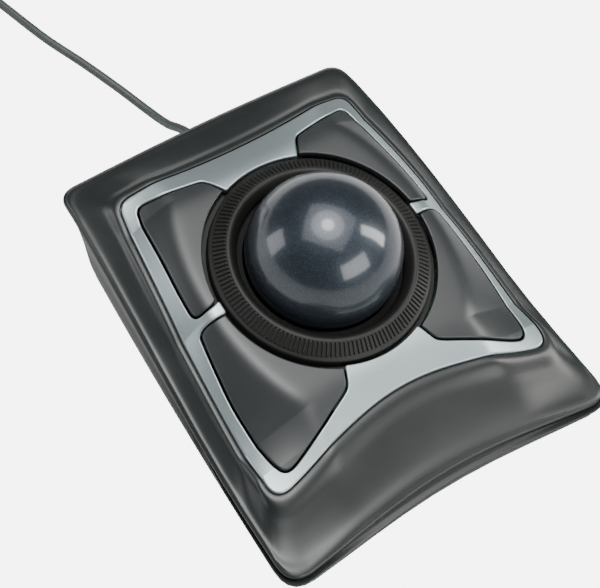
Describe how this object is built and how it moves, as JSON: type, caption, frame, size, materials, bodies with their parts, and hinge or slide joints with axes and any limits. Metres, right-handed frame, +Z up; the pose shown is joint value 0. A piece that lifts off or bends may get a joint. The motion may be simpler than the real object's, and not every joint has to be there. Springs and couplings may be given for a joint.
{
  "type": "large four-button desktop trackball with scroll ring",
  "caption": "Wedge-shaped dark desktop trackball with a glossy ball in a tilted ribbed scroll ring, big buttons in a silver frame, and a cord ending in a USB plug",
  "frame": {"origin": "middle of the body's footprint on the desk, cord left out", "axes": "+X the user's right, +Y away from the user toward the cord exit, +Z up"},
  "size_m": [0.1954, 0.362, 0.065],
  "materials": {
    "shell_plastic": "satin",
    "base_plastic": "satin",
    "bezel_paint": "satin metallic",
    "button_plastic": "satin",
    "inner_plastic": "matte",
    "plunger_plastic": "gloss",
    "ring_plastic": "satin",
    "ball_gloss": "pearl gloss",
    "cup_plastic": "matte",
    "bearing_ceramic": "polished",
    "window_glass": "clear",
    "chip_plastic": "matte",
    "board_green": "lacquered",
    "light_plastic": "satin",
    "feet_rubber": "matte",
    "screw_steel": "zinc plated",
    "cord_rubber": "satin",
    "tie_rubber": "matte",
    "plug_plastic": "satin",
    "plug_steel": "nickel plated"
  },
  "bodies": {
    "housing": {"base_plate": "base_plastic", "upper_shell": "shell_plastic", "bezel": "bezel_paint", "button_frame": "inner_plastic", "switch_bodies": "inner_plastic", "ball_cup": "cup_plastic", "support_balls": "bearing_ceramic", "sensor_window": "window_glass", "sensor_chip": "chip_plastic", "sensor_board": "board_green", "main_board": "board_green", "ring_sensor": "chip_plastic", "board_connector": "light_plastic", "rubber_feet": "feet_rubber", "base_screws": "screw_steel", "board_screws": "screw_steel", "inner_cord": "cord_rubber", "strain_relief": "cord_rubber", "cord_run": "cord_rubber", "cord_coil": "cord_rubber", "coil_tie": "tie_rubber", "cord_tail": "cord_rubber", "usb_overmould": "plug_plastic", "usb_shell": "plug_steel", "usb_insulator": "light_plastic"},
    "ball": {"ball": "ball_gloss"},
    "scroll_ring": {"scroll_ring": "ring_plastic"},
    "button_back_left": {"button_back_left": "button_plastic"},
    "plunger_back_left": {"plunger_back_left": "plunger_plastic"},
    "button_back_right": {"button_back_right": "button_plastic"},
    "plunger_back_right": {"plunger_back_right": "plunger_plastic"},
    "button_front_left": {"button_front_left": "button_plastic"},
    "plunger_front_left": {"plunger_front_left": "plunger_plastic"},
    "button_front_right": {"button_front_right": "button_plastic"},
    "plunger_front_right": {"plunger_front_right": "plunger_plastic"}
  },
  "joints": [
    {"name": "scroll_ring_spin", "type": "hinge", "parent": "housing", "child": "scroll_ring", "pos_m": [0, 0.0075, 0.03269], "axis": [0, -0.1219, 0.9925], "continuous": true},
    {"name": "ball_roll", "type": "hinge", "parent": "housing", "child": "ball", "pos_m": [0, 0.00691, 0.0375], "axis": [1, 0, 0], "continuous": true},
    {"name": "button_back_left_press", "type": "hinge", "parent": "housing", "child": "button_back_left", "pos_m": [-0.047, 0.00884, 0.02177], "axis": [0, 0.9925, 0.1219], "range_deg": [0, 1.05], "stiffness_Nm_per_rad": 0.4, "springref_deg": -1.15},
    {"name": "plunger_back_left_slide", "type": "slide", "parent": "housing", "child": "plunger_back_left", "axis": [0, 0.1219, -0.9925], "range_m": [0, 0.00038]},
    {"name": "button_back_right_press", "type": "hinge", "parent": "housing", "child": "button_back_right", "pos_m": [0.047, 0.00884, 0.02177], "axis": [0, -0.9925, -0.1219], "range_deg": [0, 1.05], "stiffness_Nm_per_rad": 0.4, "springref_deg": -1.15},
    {"name": "plunger_back_right_slide", "type": "slide", "parent": "housing", "child": "plunger_back_right", "axis": [0, 0.1219, -0.9925], "range_m": [0, 0.00038]},
    {"name": "button_front_left_press", "type": "hinge", "parent": "housing", "child": "button_front_left", "pos_m": [-0.047, 0.00884, 0.02177], "axis": [0, 0.9925, 0.1219], "range_deg": [0, 1.05], "stiffness_Nm_per_rad": 0.4, "springref_deg": -1.15},
    {"name": "plunger_front_left_slide", "type": "slide", "parent": "housing", "child": "plunger_front_left", "axis": [0, 0.1219, -0.9925], "range_m": [0, 0.00038]},
    {"name": "button_front_right_press", "type": "hinge", "parent": "housing", "child": "button_front_right", "pos_m": [0.047, 0.00884, 0.02177], "axis": [0, -0.9925, -0.1219], "range_deg": [0, 1.05], "stiffness_Nm_per_rad": 0.4, "springref_deg": -1.15},
    {"name": "plunger_front_right_slide", "type": "slide", "parent": "housing", "child": "plunger_front_right", "axis": [0, 0.1219, -0.9925], "range_m": [0, 0.00038]}
  ],
  "couplings": [
    {"joint": "plunger_back_left_slide", "follows": "button_back_left_press", "m_per_rad": 0.019},
    {"joint": "plunger_back_right_slide", "follows": "button_back_right_press", "m_per_rad": 0.019},
    {"joint": "plunger_front_left_slide", "follows": "button_front_left_press", "m_per_rad": 0.019},
    {"joint": "plunger_front_right_slide", "follows": "button_front_right_press", "m_per_rad": 0.019}
  ]
}
